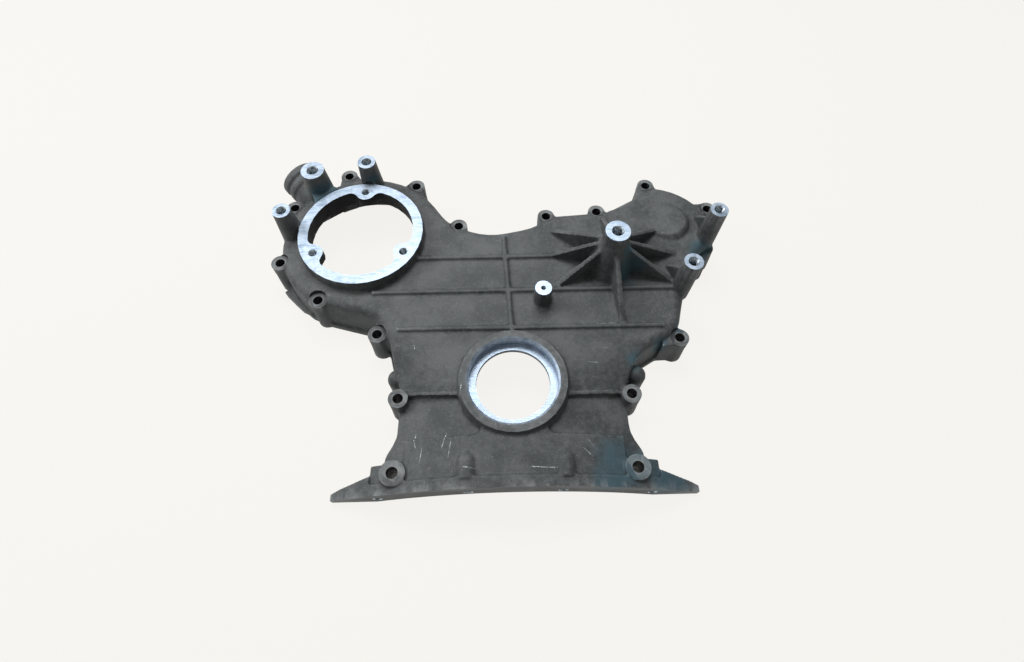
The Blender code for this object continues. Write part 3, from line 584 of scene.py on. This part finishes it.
def makeDrilledWall():
    made, tree, shader = surface("drilled_wall")
    spot = objectSpot(tree)
    share = between(tree, grain(tree, spot, 3, 3), 0.35, 0.65)
    put(tree, shader.inputs["Base Color"], blend(tree, share, drilledWall["low"], drilledWall["high"]))
    put(tree, shader.inputs["Roughness"], between(tree, share, 0, 1, 0.3, 0.45))
    shader.inputs["Metallic"].default_value = 0.9
    put(tree, shader.inputs["Normal"], bumps(tree, grain(tree, spot, 1.0), 0.05, 0.4))
    return made


# near-black colours of the painted shade inside the bolt holes
shadedBoreColour = {"low": (0.006, 0.007, 0.008), "high": (0.03, 0.032, 0.034)}


def makeShadedBore():            # bolt holes, painted near black as the shade inside them
    made, tree, shader = surface("painted_shade_bore")
    spot = objectSpot(tree)
    share = between(tree, grain(tree, spot, 4, 3), 0.35, 0.65)
    put(tree, shader.inputs["Base Color"], blend(tree, share, shadedBoreColour["low"], shadedBoreColour["high"]))
    put(tree, shader.inputs["Roughness"], between(tree, share, 0, 1, 0.55, 0.75))
    put(tree, shader.inputs["Normal"], bumps(tree, grain(tree, spot, 1.2), 0.1, 0.5))
    return made


# near-black colours of the painted shade on the inside walls
hollowSkin = {"dark": (0.0035, 0.0038, 0.0042), "light": (0.012, 0.013, 0.014)}


def makeInsideShade():          # the inside walls, painted near black as the shade that falls there
    made, tree, shader = surface("hollow_skin")
    spot = objectSpot(tree)
    mottle = grain(tree, spot, 7, 4, 0.6)
    colour = blend(tree, between(tree, mottle, 0.36, 0.64), hollowSkin["dark"], hollowSkin["light"])
    put(tree, shader.inputs["Base Color"], colour)
    put(tree, shader.inputs["Roughness"], between(tree, mottle, 0.3, 0.7, 0.55, 0.75))
    shader.inputs["Specular IOR Level"].default_value = 0.12
    put(tree, shader.inputs["Normal"], bumps(tree, grain(tree, spot, 1.6, 2), 0.25, 0.7))
    return made


finishes = {"cast": 0, "milled": 1, "drilled": 2, "boreShade": 3, "hollow": 4}      # slots of the materials; the last two hold painted shade, for the bolt holes and for the inside
hollow = {"top": 44, "roof": 38, "steep": 0.6, "bore": 57.0, "around": 60}      # how far the painted shade of the inside reaches


def finishFaces(cover):        # picks the milled faces, the drilled walls and the faces painted as shade by where they lie
    mesh = cover.data
    count = len(mesh.polygons)
    centres, normals = np.empty(count * 3), np.empty(count * 3)
    mesh.polygons.foreach_get("center", centres)
    mesh.polygons.foreach_get("normal", normals)
    centres = (centres.reshape(-1, 3) - np.array(crank)) / mm
    normals = normals.reshape(-1, 3)
    x, y, z = centres.T
    up = normals[:, 2]
    kind = np.full(count, finishes["cast"], np.int32)
    kind[(z < 0.03) & (up < -0.99)] = finishes["milled"]
    flats = [(pumpRing["x"], pumpRing["y"], pumpRing["faceZ"], pumpRing["radius"] + 3),
             (pinBoss["x"], pinBoss["y"], pinBoss["top"], pinBoss["radius"] + 3)]
    flats += [(a, b, top, radius + 3) for a, b, top, radius, hole in tallBosses["places"]]
    for a, b, top, radius in flats:
        kind[(np.hypot(x - a, y - b) < radius) & (abs(z - top) < 0.03) & (up > 0.99)] = finishes["milled"]
    tree = BVHTree.FromPolygons([v.co for v in mesh.vertices], [p.vertices for p in mesh.polygons])
    walls = (kind == finishes["cast"]) & (z < hollow["top"]) & (up < hollow["steep"])
    for i in np.nonzero(walls)[0]:       # a wall with metal above it and before it lies in shade inside the hollow and is painted dark as shade
        start = Vector((centres[i] + 0.8 * normals[i]) * mm) + crank
        if tree.ray_cast(start, Vector((0, 0, 1)), 0.1)[0] and tree.ray_cast(start, Vector(normals[i]), 0.5)[0]:
            kind[i] = finishes["hollow"]
    fromPump = np.hypot(x - pumpRing["x"], y - pumpRing["y"])
    kind[(fromPump < hollow["bore"]) & (z < pumpRing["faceZ"] - 0.02) & (up < 0.7)] = finishes["hollow"]
    kind[(kind == finishes["hollow"]) & (z > hollow["roof"]) & (fromPump > hollow["around"])] = finishes["cast"]
    fromCrank = np.hypot(x, y)
    seat = sealBore["lipZ"] - sealBore["depth"]
    inBore = (fromCrank < sealBore["mouth"] + 0.1) & (z > seat - 0.2) & (z < sealBore["lipZ"] - 0.05)
    kind[inBore] = finishes["milled"]
    # the ear holes get the painted shade of the bolt holes
    for a, b, top, hole, flat in ears["places"]:
        if flat:
            kind[(np.hypot(x - a, y - b) < hole + 0.1) & (z > -0.1) & (z < top - 0.03)] = finishes["boreShade"]
    wells = [(a, b, top - tallBosses["depth"], top, hole + 1.3) for a, b, top, radius, hole in tallBosses["places"]]
    foot = pinBoss["top"] - pinBoss["depth"]
    wells.append((pinBoss["x"], pinBoss["y"], foot, pinBoss["top"], pinBoss["hole"] + 0.7))
    foot = pumpRing["faceZ"] - pumpRing["screwDepth"]
    wells += [(a, b, foot, pumpRing["faceZ"], pumpRing["screwRadius"] + 1.2) for a, b in pumpScrews()]
    for a, b, low, high, radius in wells:
        kind[(np.hypot(x - a, y - b) < radius) & (z > low - 0.1) & (z < high - 0.02)] = finishes["drilled"]
    for a, b in sumpScrews():
        inside = (np.hypot(x - a, z - b) < sumpFace["radius"] + 1.2) & (y > sumpFace["y"] + 0.02)
        kind[inside & (y < sumpFace["y"] + sumpFace["depth"] + 0.1)] = finishes["drilled"]
    mesh.materials.clear()
    for material in (makeCastSkin(), makeMilledFace(), makeDrilledWall(), makeShadedBore(), makeInsideShade()):
        mesh.materials.append(material)
    mesh.polygons.foreach_set("material_index", kind)
    mesh.shade_smooth()
    mesh.set_sharp_from_angle(angle=math.radians(casting["sharp"]))
    rounded = np.ones(count, bool)
    for a, b, top, hole, flat in ears["places"]:
        rounded[(np.hypot(x - a, y - b) < flat + 1) & (abs(z - top) < 0.03) & (up > 0.99)] = False
    mesh.polygons.foreach_set("use_smooth", rounded)
    mesh.update()


# the cover

print("casting the blank")
cover = castingBlank()
soften(cover.data, casting["passes"])
thin = cover.modifiers.new("thin", "DECIMATE")
thin.ratio = min(1.0, casting["triangles"] / (2 * len(cover.data.polygons)))
bake(cover)
print("milling and drilling")
cut(cover, faceCutters())
cut(cover, holeCutters())
cut(cover, sumpCutters())
finishFaces(cover)
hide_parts("gear_cover")
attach(cover, "root")
print("cover faces", len(cover.data.polygons))


# the studio

studio = {
    "paper": (0.921, 0.905, 0.871),
    "paperGlow": 0.96,       # share of the paper that shadows don't reach
    "sky": 0.31,
    "key": {"from": (-0.05, 0.62, 1.30), "width": 0.7, "height": 0.5, "power": 16.0},
    "fill": {"from": (-1.0, 0.35, 0.8), "width": 0.7, "height": 0.7, "power": 11.0},
}


def makeFloor():
    bm = bmesh.new()
    block(bm, (-15, -15, -0.02), (15, 15, 0.0))
    floor = meshObject("floor", bm)
    made, tree, shader = surface("pale_paper")
    shader.inputs["Base Color"].default_value = (*studio["paper"], 1)
    shader.inputs["Roughness"].default_value = 0.9
    shader.inputs["Specular IOR Level"].default_value = 0.1
    glow = tree.nodes.new("ShaderNodeEmission")
    glow.inputs["Color"].default_value = (*studio["paper"], 1)
    path = tree.nodes.new("ShaderNodeLightPath")
    seen = sums(tree, "MAXIMUM", path.outputs["Is Camera Ray"],
                sums(tree, "MAXIMUM", path.outputs["Is Glossy Ray"], path.outputs["Is Transmission Ray"]))
    mixed = tree.nodes.new("ShaderNodeMixShader")
    put(tree, mixed.inputs[0], sums(tree, "MULTIPLY", seen, studio["paperGlow"]))
    tree.links.new(shader.outputs[0], mixed.inputs[1])
    tree.links.new(glow.outputs[0], mixed.inputs[2])
    out = next(n for n in tree.nodes if n.type == "OUTPUT_MATERIAL")
    tree.links.new(mixed.outputs[0], out.inputs["Surface"])
    floor.data.materials.append(made)
    return floor


def makeSky():
    world = bpy.data.worlds.new("studio_sky")
    world.use_nodes = True
    tree = world.node_tree
    back = tree.nodes["Background"]
    path = tree.nodes.new("ShaderNodeLightPath")
    back.inputs["Color"].default_value = (*studio["paper"], 1)
    put(tree, back.inputs["Strength"], between(tree, path.outputs["Is Camera Ray"], 0, 1, studio["sky"], 1.0))
    bpy.context.scene.world = world


def makeLamp(name, about):
    light = bpy.data.lights.new(name, "AREA")
    light.shape = "RECTANGLE"
    light.size = about["width"]
    light.size_y = about["height"]
    light.energy = about["power"]
    lamp = bpy.data.objects.new(name, light)
    bpy.context.scene.collection.objects.link(lamp)
    lamp.location = Vector(about["from"])
    lamp.rotation_euler = (Vector((0, 0.03, 0.03)) - lamp.location).to_track_quat("-Z", "Y").to_euler()
    return lamp


print("studio")
floor = makeFloor()
makeSky()
makeLamp("key_light", studio["key"])
makeLamp("fill_light", studio["fill"])


# the camera, where the photographer stood

photographer = {
    "lens": 18.996,
    "at": (-8.585, -193.933, 518.661),
    "right": (0.9996552, -0.0257288, 0.0052455),
    "up": (0.0203642, 0.8857557, 0.4637048),
    "back": (-0.0165768, -0.4634381, 0.8859742),
}
camera = bpy.data.objects.new("camera", bpy.data.cameras.new("camera"))
bpy.context.scene.collection.objects.link(camera)
camera.data.sensor_width = 36
camera.data.lens = photographer["lens"]
camera.data.clip_start = 0.01
camera.data.clip_end = 40
turn = Matrix((photographer["right"], photographer["up"], photographer["back"])).transposed().to_4x4()
camera.matrix_world = Matrix.Translation(place(*photographer["at"])) @ turn
bpy.context.scene.camera = camera
bpy.context.scene.view_settings.view_transform = "Standard"
